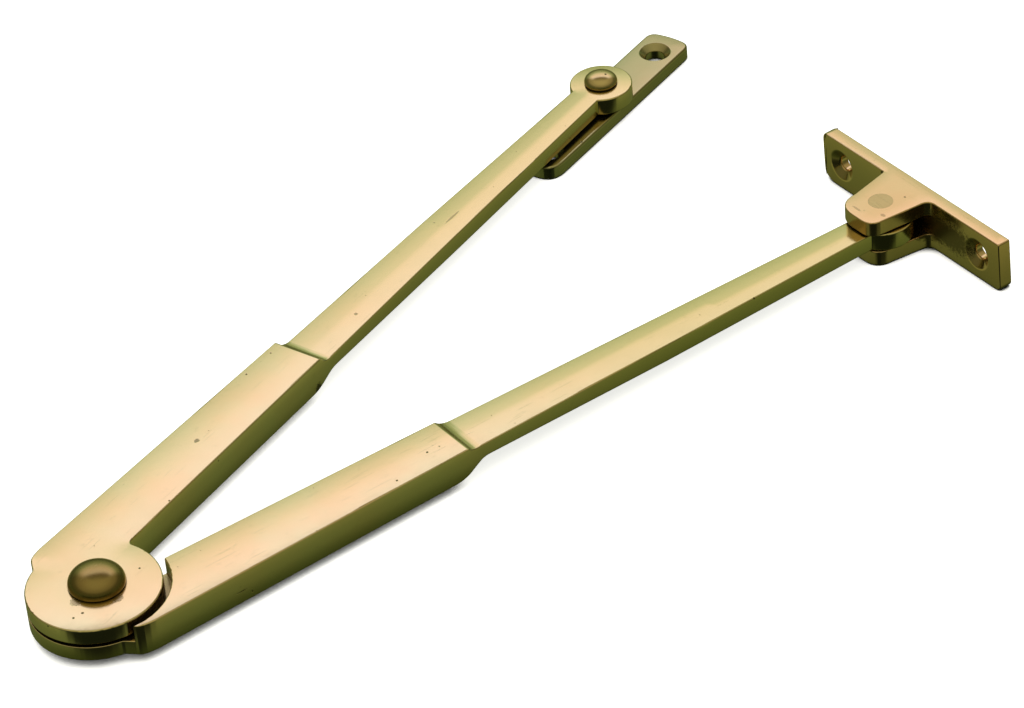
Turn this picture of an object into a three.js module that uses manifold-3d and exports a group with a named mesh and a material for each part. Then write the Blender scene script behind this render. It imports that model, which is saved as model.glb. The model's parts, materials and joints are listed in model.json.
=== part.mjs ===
// A folding brass casement stay. A bracket screws to the window frame, a flat plate screws to
// the sash, and two arms join them. The arms meet in an offset rule joint, so they fold flat
// side by side, and the ends of the two bodies meet when the stay is nearly straight.
//
// Millimetres, +Z along every pivot. The origin is the middle of the bracket's back face.
// The back face lies in the XZ plane and faces +Y, so the arms reach out towards -Y.
import * as THREE from 'three'
import { mergeVertices } from 'three/addons/utils/BufferGeometryUtils.js'
import Module from 'manifold-3d'

const wasm = await Module()
wasm.setup()

// Clearances.
const SEAT_GAP = 0.3 // between pieces that bear on each other
const FIT_GAP = 0.06 // around a shank or pin in its hole
const OVERCUT = 1 // how far a cutter runs past the face it cuts

// Arms. Both are the same blank, one turned over about its own length. A blank lies along +X
// from the elbow pivot, with the centreline of its body BODY_OFFSET to one side. Filing leaves
// the two bars a little different: the place of the far eye, and how far the upper and lower
// faces lie from the middle, at the shoulder and from the knee on.
const BODY_OFFSET = 8.1
const ARM_THICKNESS = 6.5
const BODY_HALF_WIDTH_ELBOW = 6.6
const BODY_HALF_WIDTH_SHOULDER = 5.2
const BAR_INNER_SHOULDER = 5
const BAR_OUTER_SHOULDER = 4.7
const BAR_INNER_END = 2.8
const BAR_OUTER_END = 3.4
const SHOULDER_X = 70.5
const SHOULDER_RAMP = 3.2
const KNEE_X = 116
const SASH_BAR = { eyeX: 171.4, eyeY: 7.6, upper: [1.45, 1.85], lower: [1.4, 1.7] }
const FRAME_BAR = { eyeX: 171, eyeY: 8.1, upper: [0.8, 1.6], lower: [2.1, 2.1] }
const FRAME_ARM_DROP = 0.25 // how far the frame arm sits below the sash arm

// The elbow: one eye lies on the other, and each body ends in a hollow around the other eye.
const ELBOW_EYE_RADIUS = 12
const ELBOW_HOLLOW_RADIUS = 13.4
const ELBOW_EYE_GAP = 0.5
const STOP = [[-2.2, 11.6], [-0.6, 13.4], [-0.1, 14.4], [3, 14.55]] // eye, end face, corner
const ELBOW_SHANK_RADIUS = 3
const ELBOW_HEAD_RADIUS = 5.1
const ELBOW_HEAD_HEIGHT = 3.1
const ELBOW_HEAD_SHIFT = 0.7 // the head was struck off centre, along the frame arm
const ELBOW_TAIL_RADIUS = 4.2
const ELBOW_TAIL_HEIGHT = 0.8
const ELBOW_WASHER_RADIUS = 8
const ELBOW_RECESS = 0.7 // above the middle of an arm

// The eyes at the far ends of the arms.
const END_EYE_RADIUS = 6.2

// Sash plate, under the end of the sash arm. Its end under the arm is shorter and rounder.
const SASH_PLATE_NEAR = 25
const SASH_PLATE_FAR = 25.8
const SASH_PLATE_WIDTH = 9.6
const SASH_PLATE_TOP = -2.4
const SASH_PLATE_BOTTOM = -5.2
const SASH_CORNER_NEAR = 4
const SASH_CORNER_FAR = 2.2
const SASH_END_BOW = 0.5
const SASH_SCREW_SPACING = 39
const SASH_SHANK_RADIUS = 1.8
const SASH_HEAD_RADIUS = 3.3
const SASH_HEAD_HEIGHT = 1.9
const SASH_TAIL_RADIUS = 2.9
const SASH_TAIL_DEPTH = 1.1
const SASH_WASHER_RADIUS = 4
const SASH_WASHER_THICKNESS = 0.6

// Frame bracket: an upright plate with two lugs that hold the end of the frame arm.
// The corners of the plate are [x, z, radius]. The ends were sawn a little out of square, and
// the lugs differ: widths are [root, tip], and reach is from the pivot to the tip.
const BRACKET_HEIGHT = 10.4
const BRACKET_THICKNESS = 2.9
const BRACKET_SCREW_SPACING = 38.6
const BRACKET_CORNERS = [[-24.5, -5.2, 3.4], [25.9, -5.2, 1.4], [25.3, 5.2, 0.4], [-25, 5.2, 1.8]]
const LUG_PIVOT_STANDOFF = 6.7
const LUG_FILLET = 2
const UPPER_LUG = {
  low: 2.1, high: 5.2, left: [6.9, 5.1], right: [5.8, 5], corners: [4.8, 3], reach: 6.7
}
const LOWER_LUG = {
  low: -5.2, high: -2.1, left: [6.5, 4.8], right: [6, 5.2], corners: [4.4, 3.8], reach: 5.6
}
const BRACKET_PIN_RADIUS = 2.35
const BRACKET_WASHER_RADIUS = 4
const BRACKET_WASHER_THICKNESS = 0.5

// Countersunk screw holes. The sinks in the plate and the bracket are alike.
const SASH_HOLE_RADIUS = 1.9
const BRACKET_HOLE_RADIUS = 1.5
const SCREW_SINK_RADIUS = 3.2
const SCREW_SINK_DEPTH = 1.1

// How the stay stands at rest: degrees about +Z.
const FRAME_ARM_ANGLE = 90
const ARM_SPREAD = 19

const ROUND_SEGMENTS = 48
const HALF_THICKNESS = ARM_THICKNESS / 2

// ---------------------------------------------------------------- solids

function solidOf(geometry) {
  const bare = geometry.clone()
  bare.deleteAttribute('normal')
  bare.deleteAttribute('uv')
  const merged = mergeVertices(bare, 1e-5)
  return new wasm.Manifold(new wasm.Mesh({
    numProp: 3,
    vertProperties: new Float32Array(merged.attributes.position.array),
    triVerts: new Uint32Array(merged.index.array)
  }))
}

function geometryOf(solid) {
  const mesh = solid.getMesh()
  const geometry = new THREE.BufferGeometry()
  geometry.setAttribute('position', new THREE.BufferAttribute(mesh.vertProperties, 3))
  geometry.setIndex(new THREE.BufferAttribute(mesh.triVerts, 1))
  geometry.computeVertexNormals()
  return geometry
}

function cut(solid, ...cutters) {
  return cutters.reduce((rest, cutter) => rest.subtract(cutter), solid)
}

// A flat outline raised from one height to another.
function slab(shape, low, high) {
  const options = { depth: high - low, bevelEnabled: false, curveSegments: ROUND_SEGMENTS / 4 }
  return solidOf(new THREE.ExtrudeGeometry(shape, options).translate(0, 0, low))
}

function rod(radius, low, high, x = 0, y = 0) {
  const geometry = new THREE.CylinderGeometry(radius, radius, high - low, ROUND_SEGMENTS)
  return solidOf(geometry.rotateX(Math.PI / 2).translate(x, y, (low + high) / 2))
}

// A piece turned about Z from a profile of [radius, height] points, listed upwards.
function turned(profile) {
  const points = profile.map(([radius, height]) => new THREE.Vector2(radius, height))
  return new THREE.LatheGeometry(points, ROUND_SEGMENTS).rotateX(Math.PI / 2)
}

// The space of a countersunk screw hole at the origin, from height bottom up to the sunk face.
function screwHole(radius, bottom, face) {
  const coneFoot = face - SCREW_SINK_DEPTH
  return turned([
    [0, bottom - OVERCUT],
    [radius, bottom - OVERCUT],
    [radius, coneFoot],
    [SCREW_SINK_RADIUS, face],
    [SCREW_SINK_RADIUS, face + OVERCUT],
    [0, face + OVERCUT]
  ])
}

// The points of a low dome, from its rim at height rim up to the axis.
function domeProfile(radius, rim, height) {
  const steps = 7
  const sphere = (radius * radius + height * height) / (2 * height)
  const halfAngle = Math.asin(radius / sphere)
  return Array.from({ length: steps }, (_, step) => {
    const angle = halfAngle * (1 - (step + 1) / steps)
    const across = step === steps - 1 ? 0 : sphere * Math.sin(angle)
    return [across, rim + height - sphere + sphere * Math.cos(angle)]
  })
}

// ---------------------------------------------------------------- arms

function bodyHalfWidth(x) {
  return THREE.MathUtils.mapLinear(x, 0, SHOULDER_X, BODY_HALF_WIDTH_ELBOW, BODY_HALF_WIDTH_SHOULDER)
}

// The thick body and the thin bar seen from above, without either eye.
function armPlan(bar) {
  const barX = SHOULDER_X + SHOULDER_RAMP
  const shape = new THREE.Shape()
  const [stopFoot, stopFace, stopCorner, stopEnd] = STOP
  shape.moveTo(...stopFoot)
  shape.lineTo(0, BODY_OFFSET - bodyHalfWidth(0))
  shape.lineTo(SHOULDER_X, BODY_OFFSET - bodyHalfWidth(SHOULDER_X))
  shape.lineTo(barX, BODY_OFFSET - BAR_INNER_SHOULDER)
  shape.lineTo(bar.eyeX, bar.eyeY - BAR_INNER_END)
  shape.lineTo(bar.eyeX, bar.eyeY + BAR_OUTER_END)
  shape.lineTo(barX, BODY_OFFSET + BAR_OUTER_SHOULDER)
  shape.lineTo(SHOULDER_X, BODY_OFFSET + bodyHalfWidth(SHOULDER_X))
  shape.lineTo(...stopEnd)
  shape.quadraticCurveTo(...stopCorner, ...stopFace)
  return shape
}

// The arm seen from the side: X along the arm, Y up. Each shoulder is a hollow curve that
// runs out flat on the bar.
function armProfile(bar) {
  const rampX = SHOULDER_X + SHOULDER_RAMP
  const curveX = SHOULDER_X + SHOULDER_RAMP / 3
  const startX = -ELBOW_EYE_RADIUS - OVERCUT
  const endX = bar.eyeX + END_EYE_RADIUS + OVERCUT
  const [upperShoulder, upperEnd] = bar.upper
  const [lowerShoulder, lowerEnd] = bar.lower
  const shape = new THREE.Shape()
  shape.moveTo(startX, -HALF_THICKNESS)
  shape.lineTo(SHOULDER_X, -HALF_THICKNESS)
  shape.quadraticCurveTo(curveX, -lowerShoulder, rampX, -lowerShoulder)
  shape.lineTo(KNEE_X, -lowerEnd)
  shape.lineTo(endX, -lowerEnd)
  shape.lineTo(endX, upperEnd)
  shape.lineTo(KNEE_X, upperEnd)
  shape.lineTo(rampX, upperShoulder)
  shape.quadraticCurveTo(curveX, upperShoulder, SHOULDER_X, HALF_THICKNESS)
  shape.lineTo(startX, HALF_THICKNESS)
  return shape
}

// The blank of an arm, with the elbow eye in its upper layer and holes for the elbow only.
function armBlank(bar) {
  const low = -HALF_THICKNESS
  const plan = slab(armPlan(bar), low, HALF_THICKNESS)
    .add(rod(ELBOW_EYE_RADIUS, low, HALF_THICKNESS))
    .add(rod(END_EYE_RADIUS, low, HALF_THICKNESS, bar.eyeX, bar.eyeY))
  const width = ELBOW_EYE_RADIUS + BODY_OFFSET + BODY_HALF_WIDTH_ELBOW
  const side = new THREE.ExtrudeGeometry(armProfile(bar), { depth: 2 * width, bevelEnabled: false })
  const profile = solidOf(side.rotateX(Math.PI / 2).translate(0, width, 0))
  return cut(
    plan.intersect(profile),
    rod(ELBOW_HOLLOW_RADIUS, low - OVERCUT, ELBOW_EYE_GAP / 2),
    rod(ELBOW_WASHER_RADIUS + SEAT_GAP, low, ELBOW_RECESS),
    rod(ELBOW_SHANK_RADIUS + FIT_GAP, low, HALF_THICKNESS + OVERCUT)
  )
}

function sashArm() {
  const { eyeX, eyeY } = SASH_BAR
  const hole = rod(SASH_SHANK_RADIUS + FIT_GAP, -HALF_THICKNESS, HALF_THICKNESS, eyeX, eyeY)
  return geometryOf(cut(armBlank(SASH_BAR), hole))
}

// Turned over, and set FRAME_ARM_DROP down, so its recesses mirror those of the bracket's lugs.
function frameArm() {
  const { eyeX, eyeY } = FRAME_BAR
  const recessRadius = BRACKET_WASHER_RADIUS + SEAT_GAP
  const upperFloor = upperWasherLow() - SEAT_GAP + FRAME_ARM_DROP
  const lowerFloor = lowerWasherHigh() + SEAT_GAP + FRAME_ARM_DROP
  const blank = cut(
    armBlank(FRAME_BAR),
    rod(BRACKET_PIN_RADIUS + FIT_GAP, -HALF_THICKNESS, HALF_THICKNESS, eyeX, eyeY),
    rod(recessRadius, -HALF_THICKNESS, -upperFloor, eyeX, eyeY),
    rod(recessRadius, -lowerFloor, HALF_THICKNESS, eyeX, eyeY)
  )
  return geometryOf(blank).rotateX(Math.PI).translate(0, 0, -FRAME_ARM_DROP)
}

// ---------------------------------------------------------------- rivets, pin and washers

// A solid rivet: a domed head on top, and a low set head under the lower eye.
function elbowRivet() {
  const headSeat = HALF_THICKNESS + SEAT_GAP
  const tailSeat = -FRAME_ARM_DROP - HALF_THICKNESS - SEAT_GAP
  const shank = solidOf(turned([
    [0, tailSeat - ELBOW_TAIL_HEIGHT],
    [ELBOW_TAIL_RADIUS * 0.7, tailSeat - ELBOW_TAIL_HEIGHT],
    [ELBOW_TAIL_RADIUS, tailSeat - ELBOW_TAIL_HEIGHT / 2],
    [ELBOW_TAIL_RADIUS, tailSeat],
    [ELBOW_SHANK_RADIUS, tailSeat],
    [ELBOW_SHANK_RADIUS, headSeat + OVERCUT],
    [0, headSeat + OVERCUT]
  ]))
  const head = solidOf(turned([
    [0, headSeat],
    [ELBOW_HEAD_RADIUS, headSeat],
    ...domeProfile(ELBOW_HEAD_RADIUS, headSeat, ELBOW_HEAD_HEIGHT)
  ]).translate(ELBOW_HEAD_SHIFT, 0, 0))
  return geometryOf(shank.add(head))
}

// A solid rivet whose lower end is spread into a countersink, flush under the sash plate.
function sashRivet() {
  const headSeat = SASH_BAR.upper[1] + SEAT_GAP
  const tailTop = SASH_PLATE_BOTTOM + SASH_TAIL_DEPTH
  return turned([
    [0, SASH_PLATE_BOTTOM],
    [SASH_TAIL_RADIUS, SASH_PLATE_BOTTOM],
    [SASH_SHANK_RADIUS, tailTop],
    [SASH_SHANK_RADIUS, headSeat],
    [SASH_HEAD_RADIUS, headSeat],
    ...domeProfile(SASH_HEAD_RADIUS, headSeat, SASH_HEAD_HEIGHT)
  ])
}

function bracketPin() {
  const half = BRACKET_HEIGHT / 2
  return geometryOf(rod(BRACKET_PIN_RADIUS, -half, half))
}

function washer(outerRadius, shankRadius, low, thickness) {
  const ring = rod(outerRadius, low, low + thickness)
  const bore = rod(shankRadius + SEAT_GAP, low - OVERCUT, low + thickness + OVERCUT)
  return geometryOf(cut(ring, bore))
}

function upperWasherLow() {
  return UPPER_LUG.low - SEAT_GAP - BRACKET_WASHER_THICKNESS
}

function lowerWasherHigh() {
  return LOWER_LUG.high + SEAT_GAP + BRACKET_WASHER_THICKNESS
}

// ---------------------------------------------------------------- sash plate

// A closed outline through [x, y, radius] corners, each rounded by about its radius.
function roundedOutline(corners) {
  const shape = new THREE.Shape()
  corners.forEach(([x, y, radius], index) => {
    const corner = new THREE.Vector2(x, y)
    const last = new THREE.Vector2(...corners.at(index - 1).slice(0, 2))
    const next = new THREE.Vector2(...corners[(index + 1) % corners.length].slice(0, 2))
    const start = last.sub(corner).setLength(radius).add(corner)
    const end = next.sub(corner).setLength(radius).add(corner)
    const go = index === 0 ? 'moveTo' : 'lineTo'
    shape[go](start.x, start.y)
    shape.quadraticCurveTo(x, y, end.x, end.y)
  })
  return shape
}

function sashPlate() {
  const low = SASH_PLATE_BOTTOM
  const top = SASH_PLATE_TOP
  const y = SASH_PLATE_WIDTH / 2
  const outline = roundedOutline([
    [-SASH_PLATE_NEAR, -y, SASH_CORNER_NEAR],
    [SASH_PLATE_FAR - SASH_END_BOW, -y, SASH_CORNER_FAR],
    [SASH_PLATE_FAR, 0, SASH_END_BOW],
    [SASH_PLATE_FAR - SASH_END_BOW, y, SASH_CORNER_FAR],
    [-SASH_PLATE_NEAR, y, SASH_CORNER_NEAR]
  ])
  const recessFloor = sashWasherLow() - SEAT_GAP
  const tailRelief = solidOf(turned([
    [0, low - OVERCUT],
    [SASH_TAIL_RADIUS + FIT_GAP, low - OVERCUT],
    [SASH_TAIL_RADIUS + FIT_GAP, low],
    [SASH_SHANK_RADIUS + FIT_GAP, low + SASH_TAIL_DEPTH],
    [SASH_SHANK_RADIUS + FIT_GAP, top + OVERCUT],
    [0, top + OVERCUT]
  ]))
  const screwHoles = [-1, 1].map((end) =>
    solidOf(screwHole(SASH_HOLE_RADIUS, low, top).translate(end * SASH_SCREW_SPACING / 2, 0, 0)))
  return geometryOf(cut(
    slab(outline, low, top),
    tailRelief,
    rod(SASH_WASHER_RADIUS + SEAT_GAP, recessFloor, top + OVERCUT),
    ...screwHoles
  ))
}

function sashWasherLow() {
  return -SASH_BAR.lower[1] - SEAT_GAP - SASH_WASHER_THICKNESS
}

// ---------------------------------------------------------------- frame bracket

// The lug seen from above. Y is 0 at the back face of the plate, and the pivot is at -Y.
function lug({ low, high, left, right, corners, reach }) {
  const front = -BRACKET_THICKNESS
  const tip = front - LUG_PIVOT_STANDOFF - reach
  const [leftRoot, leftTip] = left
  const [rightRoot, rightTip] = right
  const [leftCorner, rightCorner] = corners
  const shape = new THREE.Shape()
  shape.moveTo(-leftRoot, front + FIT_GAP)
  shape.lineTo(-leftTip, tip + leftCorner)
  shape.quadraticCurveTo(-leftTip, tip, -leftTip + leftCorner, tip)
  shape.lineTo(rightTip - rightCorner, tip)
  shape.quadraticCurveTo(rightTip, tip, rightTip, tip + rightCorner)
  shape.lineTo(rightRoot, front - LUG_FILLET)
  shape.quadraticCurveTo(rightRoot, front, rightRoot + LUG_FILLET, front)
  shape.lineTo(rightRoot + LUG_FILLET, front + FIT_GAP)
  return slab(shape, low, high)
}

function frameBracket() {
  const pivotY = -BRACKET_THICKNESS - LUG_PIVOT_STANDOFF
  const reach = BRACKET_HEIGHT / 2 + OVERCUT
  const options = { depth: BRACKET_THICKNESS, bevelEnabled: false, curveSegments: ROUND_SEGMENTS / 6 }
  const plate = new THREE.ExtrudeGeometry(roundedOutline(BRACKET_CORNERS), options)
  const screwHoles = [-1, 1].map((end) => {
    const hole = screwHole(BRACKET_HOLE_RADIUS, 0, BRACKET_THICKNESS).rotateX(Math.PI / 2)
    return solidOf(hole.translate(end * BRACKET_SCREW_SPACING / 2, 0, 0))
  })
  const whole = solidOf(plate.rotateX(Math.PI / 2)).add(lug(UPPER_LUG)).add(lug(LOWER_LUG))
  const pinHole = rod(BRACKET_PIN_RADIUS + FIT_GAP, -reach, reach, 0, pivotY)
  return geometryOf(cut(whole, pinHole, ...screwHoles))
}

// ---------------------------------------------------------------- assembly

function brass(color, roughness) {
  return new THREE.MeshStandardMaterial({ color, roughness, metalness: 1 })
}

const polished = brass(0xcfae6a, 0.22)
const rivetBrass = brass(0xa8853f, 0.18)
const pinBrass = brass(0xbf9d5c, 0.3)
const washerBronze = brass(0x9a6b3a, 0.4)

const stay = new THREE.Group()

function addPart(name, geometry, material, place = new THREE.Vector2(), degrees = 0) {
  const mesh = new THREE.Mesh(geometry, material.clone())
  mesh.name = name
  mesh.position.set(place.x, place.y, 0)
  mesh.rotation.z = THREE.MathUtils.degToRad(degrees)
  stay.add(mesh)
}

// Where the pivots lie.
const origin = new THREE.Vector2()
const sashArmAngle = FRAME_ARM_ANGLE + ARM_SPREAD
const bracketPivot = new THREE.Vector2(0, -BRACKET_THICKNESS - LUG_PIVOT_STANDOFF)
const frameEye = new THREE.Vector2(FRAME_BAR.eyeX, -FRAME_BAR.eyeY)
const sashEye = new THREE.Vector2(SASH_BAR.eyeX, SASH_BAR.eyeY)
frameEye.rotateAround(origin, THREE.MathUtils.degToRad(FRAME_ARM_ANGLE))
sashEye.rotateAround(origin, THREE.MathUtils.degToRad(sashArmAngle))
const elbow = bracketPivot.clone().sub(frameEye)
const sashPivot = elbow.clone().add(sashEye)

const lowerWasher = lowerWasherHigh() - BRACKET_WASHER_THICKNESS
const pivotWasher = (low) =>
  washer(BRACKET_WASHER_RADIUS, BRACKET_PIN_RADIUS, low, BRACKET_WASHER_THICKNESS)
const elbowWasherLow = -FRAME_ARM_DROP - ELBOW_RECESS + SEAT_GAP
const elbowWasherThickness = ELBOW_RECESS - SEAT_GAP - elbowWasherLow
const elbowWasher = washer(
  ELBOW_WASHER_RADIUS, ELBOW_SHANK_RADIUS, elbowWasherLow, elbowWasherThickness)
const sashWasher = washer(
  SASH_WASHER_RADIUS, SASH_SHANK_RADIUS, sashWasherLow(), SASH_WASHER_THICKNESS)

addPart('frame_bracket', frameBracket(), polished)
addPart('bracket_pin', bracketPin(), pinBrass, bracketPivot)
addPart('bracket_washer_upper', pivotWasher(upperWasherLow()), washerBronze, bracketPivot)
addPart('bracket_washer_lower', pivotWasher(lowerWasher), washerBronze, bracketPivot)
addPart('frame_arm', frameArm(), polished, elbow, FRAME_ARM_ANGLE)
addPart('elbow_washer', elbowWasher, washerBronze, elbow)
addPart('elbow_rivet', elbowRivet(), rivetBrass, elbow, FRAME_ARM_ANGLE)
addPart('sash_arm', sashArm(), polished, elbow, sashArmAngle)
addPart('sash_washer', sashWasher, washerBronze, sashPivot)
addPart('sash_rivet', sashRivet(), rivetBrass, sashPivot)
addPart('sash_plate', sashPlate(), polished, sashPivot, sashArmAngle)

export default stay
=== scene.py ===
# A folding brass casement stay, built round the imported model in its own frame, in metres.
# Pieces are modelled in millimetres, each in its own frame, and scaled when they are placed.
import json
import math

import bmesh
import bpy
import numpy as np
from mathutils import Matrix, Vector


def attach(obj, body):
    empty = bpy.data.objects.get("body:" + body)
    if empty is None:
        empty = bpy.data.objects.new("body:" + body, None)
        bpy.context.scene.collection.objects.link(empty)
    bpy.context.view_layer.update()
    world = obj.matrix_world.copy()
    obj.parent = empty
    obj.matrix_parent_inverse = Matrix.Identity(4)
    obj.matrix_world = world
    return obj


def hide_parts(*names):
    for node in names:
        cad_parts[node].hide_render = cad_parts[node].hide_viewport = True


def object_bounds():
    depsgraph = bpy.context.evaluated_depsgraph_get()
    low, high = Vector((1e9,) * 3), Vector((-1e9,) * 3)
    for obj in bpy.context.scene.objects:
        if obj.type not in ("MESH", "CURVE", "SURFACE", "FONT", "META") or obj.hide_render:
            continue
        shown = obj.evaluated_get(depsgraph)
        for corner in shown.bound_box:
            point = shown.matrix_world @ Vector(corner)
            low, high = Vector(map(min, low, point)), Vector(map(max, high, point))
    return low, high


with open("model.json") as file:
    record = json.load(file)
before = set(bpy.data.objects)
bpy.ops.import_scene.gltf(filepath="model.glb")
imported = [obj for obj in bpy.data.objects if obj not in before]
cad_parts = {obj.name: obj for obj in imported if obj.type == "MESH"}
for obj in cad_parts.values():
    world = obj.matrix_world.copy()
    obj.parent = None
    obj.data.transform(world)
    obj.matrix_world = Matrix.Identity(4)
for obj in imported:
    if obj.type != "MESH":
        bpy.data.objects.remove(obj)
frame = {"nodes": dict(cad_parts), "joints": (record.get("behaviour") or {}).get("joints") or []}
cad_low, cad_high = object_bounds()

MM = 0.001

# Camera: the way it looks, in degrees, and where it stands, in metres.
CAMERA_AZIMUTH = 56.05
CAMERA_ELEVATION = 37.553
CAMERA_ROLL = -5.045
CAMERA_POSITION = Vector((0.5051, -0.4357, 0.4819))
CAMERA_LENS = 152.1

# How the stay stands at rest: degrees about +Z.
FRAME_ARM_ANGLE = 90
SASH_ARM_ANGLE = 109

# Arms. Both are the same blank, one turned over about its own length. Filing leaves the bars a
# little different: the place of the far eye, and how far the upper and lower faces lie from the
# middle, at the shoulder and from the knee on.
BODY_OFFSET = 8.1
ARM_HALF_THICKNESS = 3.25
BODY_HALF_WIDTHS = (6.6, 5.2)
BAR_INNER = (5.0, 2.8)
BAR_OUTER = (4.7, 3.4)
SHOULDER_X = 70.5
SHOULDER_RAMP = 3.2
SOFT_RAMP_START = 67.6
SOFT_RAMP_END = 75.2
KNEE_X = 116
SASH_BAR = {"eye": (171.4, 7.6), "upper": (1.45, 1.85), "lower": (1.4, 1.7)}
FRAME_BAR = {"eye": (171, 8.1), "upper": (0.8, 1.6), "lower": (2.1, 2.1)}
FRAME_ARM_DROP = 0.25
END_EYE_RADIUS = 6.2

# The elbow.
EYE_RADIUS = 12
HOLLOW_RADIUS = 13.4
EYE_GAP = 0.5
STOP = ((-0.6, 13.4), (-0.1, 14.4), (3, 14.55))
STOP_FOOT_ANGLE = 100.5
EYE_FILLET = 0.9
ELBOW_SHANK = 3
ELBOW_HEAD = 5.1
ELBOW_HEAD_HEIGHT = 3.3
ELBOW_HEAD_SHIFT = 0.7
ELBOW_TAIL = 4.2
ELBOW_TAIL_HEIGHT = 1.0
ELBOW_RECESS = (8.3, 0.7)

# The frame arm's pin and its washers' recesses, as heights above the middle of the bracket.
PIN_RADIUS = 2.35
PIN_RECESS_RADIUS = 4.3
PIN_RECESS_HEIGHT = 1.0

# Sash plate and its rivet.
PLATE_NEAR = 25
PLATE_FAR = 25.8
PLATE_WIDTH = 9.6
PLATE_TOP = -2.4
PLATE_BOTTOM = -5.2
PLATE_SCREW_SPACING = 39
PLATE_RECESS = (4.3, -2.9)
PLATE_CORNER_NEAR = 4
PLATE_CORNER_FAR = 2.2
PLATE_END_BOW = 0.5
PLATE_BOW_RADIUS = 1.5
SASH_SHANK = 1.8
SASH_HEAD = 3.3
SASH_HEAD_HEIGHT = 2.15
SASH_TAIL = 2.9
SASH_TAIL_DEPTH = 1.1

# Frame bracket. Corners are (x, z, radius). Lug widths are (root, tip), and reach is from the
# pivot to the tip.
BRACKET_CORNERS = ((-24.5, -5.2, 3.4), (25.9, -5.2, 1.4), (25.3, 5.2, 0.4), (-25, 5.2, 1.8))
BRACKET_THICKNESS = 2.9
BRACKET_SCREW_SPACING = 38.6
LUG_STANDOFF = 6.7
LUG_FILLET = 2
UPPER_LUG = {
    "low": 2.1, "high": 5.2, "left": (6.9, 5.1), "right": (5.8, 5), "corners": (4.8, 3),
    "reach": 6.7}
LOWER_LUG = {
    "low": -5.2, "high": -2.1, "left": (6.5, 4.8), "right": (6, 5.2), "corners": (4.4, 3.8),
    "reach": 5.6}

# Countersunk screw holes.
PLATE_HOLE = 1.9
BRACKET_HOLE = 1.5
SINK_RADIUS = 3.2
SINK_DEPTH = 1.1

# How far edges are rounded. The blunt ends and the inner layers of the arms differ.
ARM_EDGE = 0.3
ARM_INNER_EDGE = 0.14
ARM_TIP_EDGE = 0.06
PLATE_TOP_EDGE = 0.5
PLATE_LOW_EDGE = 0.2
PLATE_HOLE_EDGE = 0.12
BRACKET_EDGE = 0.25
BRACKET_LEFT_EDGE = 0.6

FIT = 0.02 # between pieces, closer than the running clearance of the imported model
OVERCUT = 1 # how far a cutter runs past the face it cuts
ARC_STEP = 3 # degrees
SLICE = 1.3 # spacing of the slices that carry the polished shading
SHARP_ANGLE = math.radians(24)
SHARP_SHADING = math.radians(40)


# ---------------------------------------------------------------- camera

def make_camera():
    azimuth = math.radians(CAMERA_AZIMUTH)
    elevation = math.radians(CAMERA_ELEVATION)
    roll = math.radians(CAMERA_ROLL)
    back = Vector((
        math.sin(azimuth) * math.cos(elevation),
        -math.cos(azimuth) * math.cos(elevation),
        math.sin(elevation)))
    level = Vector((math.cos(azimuth), math.sin(azimuth), 0))
    upright = back.cross(level)
    right = math.cos(roll) * level + math.sin(roll) * upright
    up = back.cross(right)
    data = bpy.data.cameras.new("camera")
    data.lens = CAMERA_LENS
    data.sensor_width = 36
    data.clip_start = 0.01
    data.clip_end = 20
    camera = bpy.data.objects.new("camera", data)
    bpy.context.scene.collection.objects.link(camera)
    turn = Matrix((right, up, back)).transposed().to_4x4()
    camera.matrix_world = Matrix.Translation(CAMERA_POSITION) @ turn
    bpy.context.scene.camera = camera


make_camera()


# ---------------------------------------------------------------- outlines, in mm

def between(x, x_range, values):
    """The value at x on the straight line through two ends."""
    share = (x - x_range[0]) / (x_range[1] - x_range[0])
    return values[0] + share * (values[1] - values[0])


def arc(centre, radius, start, end):
    """Points on an arc from one angle to another, in degrees, either way round."""
    count = max(2, math.ceil(abs(end - start) / ARC_STEP))
    angles = [math.radians(start + (end - start) * i / count) for i in range(count + 1)]
    return [(centre[0] + radius * math.cos(a), centre[1] + radius * math.sin(a)) for a in angles]


def curve(start, control, end, count=8):
    """Points on a quadratic curve."""
    points = []
    for i in range(count + 1):
        t = i / count
        weights = ((1 - t) ** 2, 2 * t * (1 - t), t ** 2)
        points.append(tuple(
            weights[0] * start[k] + weights[1] * control[k] + weights[2] * end[k] for k in (0, 1)))
    return points


def away_from_middle(outline, points):
    """For each point, the direction to the nearest place on a closed outline, and how far."""
    starts = np.array(outline, float)
    steps = np.roll(starts, -1, axis=0) - starts
    lengths = (steps ** 2).sum(1)
    nearest = np.full(len(points), np.inf)
    away = np.zeros((len(points), 2))
    for start, step, length in zip(starts, steps, lengths):
        offset = points - start
        share = np.clip(offset @ step / max(length, 1e-12), 0, 1)
        gap = share[:, None] * step - offset
        distance = np.sqrt((gap ** 2).sum(1))
        closer = distance < nearest
        nearest[closer] = distance[closer]
        away[closer] = gap[closer] / np.maximum(distance[closer], 1e-6)[:, None]
    return away, nearest


# ---------------------------------------------------------------- solids, in mm

def solid_from(bm):
    """A temporary object from a bmesh, which it frees."""
    bmesh.ops.recalc_face_normals(bm, faces=bm.faces)
    mesh = bpy.data.meshes.new("solid")
    bm.to_mesh(mesh)
    bm.free()
    solid = bpy.data.objects.new("solid", mesh)
    bpy.context.scene.collection.objects.link(solid)
    return solid


def prism(outline, low, high, turn=None):
    """A flat outline raised from low to high along Z, and then turned by a matrix."""
    bm = bmesh.new()
    below = [bm.verts.new((x, y, low)) for x, y in outline]
    above = [bm.verts.new((x, y, high)) for x, y in outline]
    bm.faces.new(below)
    bm.faces.new(above)
    for i in range(len(outline)):
        j = (i + 1) % len(outline)
        bm.faces.new((below[i], below[j], above[j], above[i]))
    if turn:
        bm.transform(turn)
    return solid_from(bm)


def rod(radius, low, high, centre=(0, 0)):
    return prism(arc(centre, radius, 0, 360)[:-1], low, high)


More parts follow.
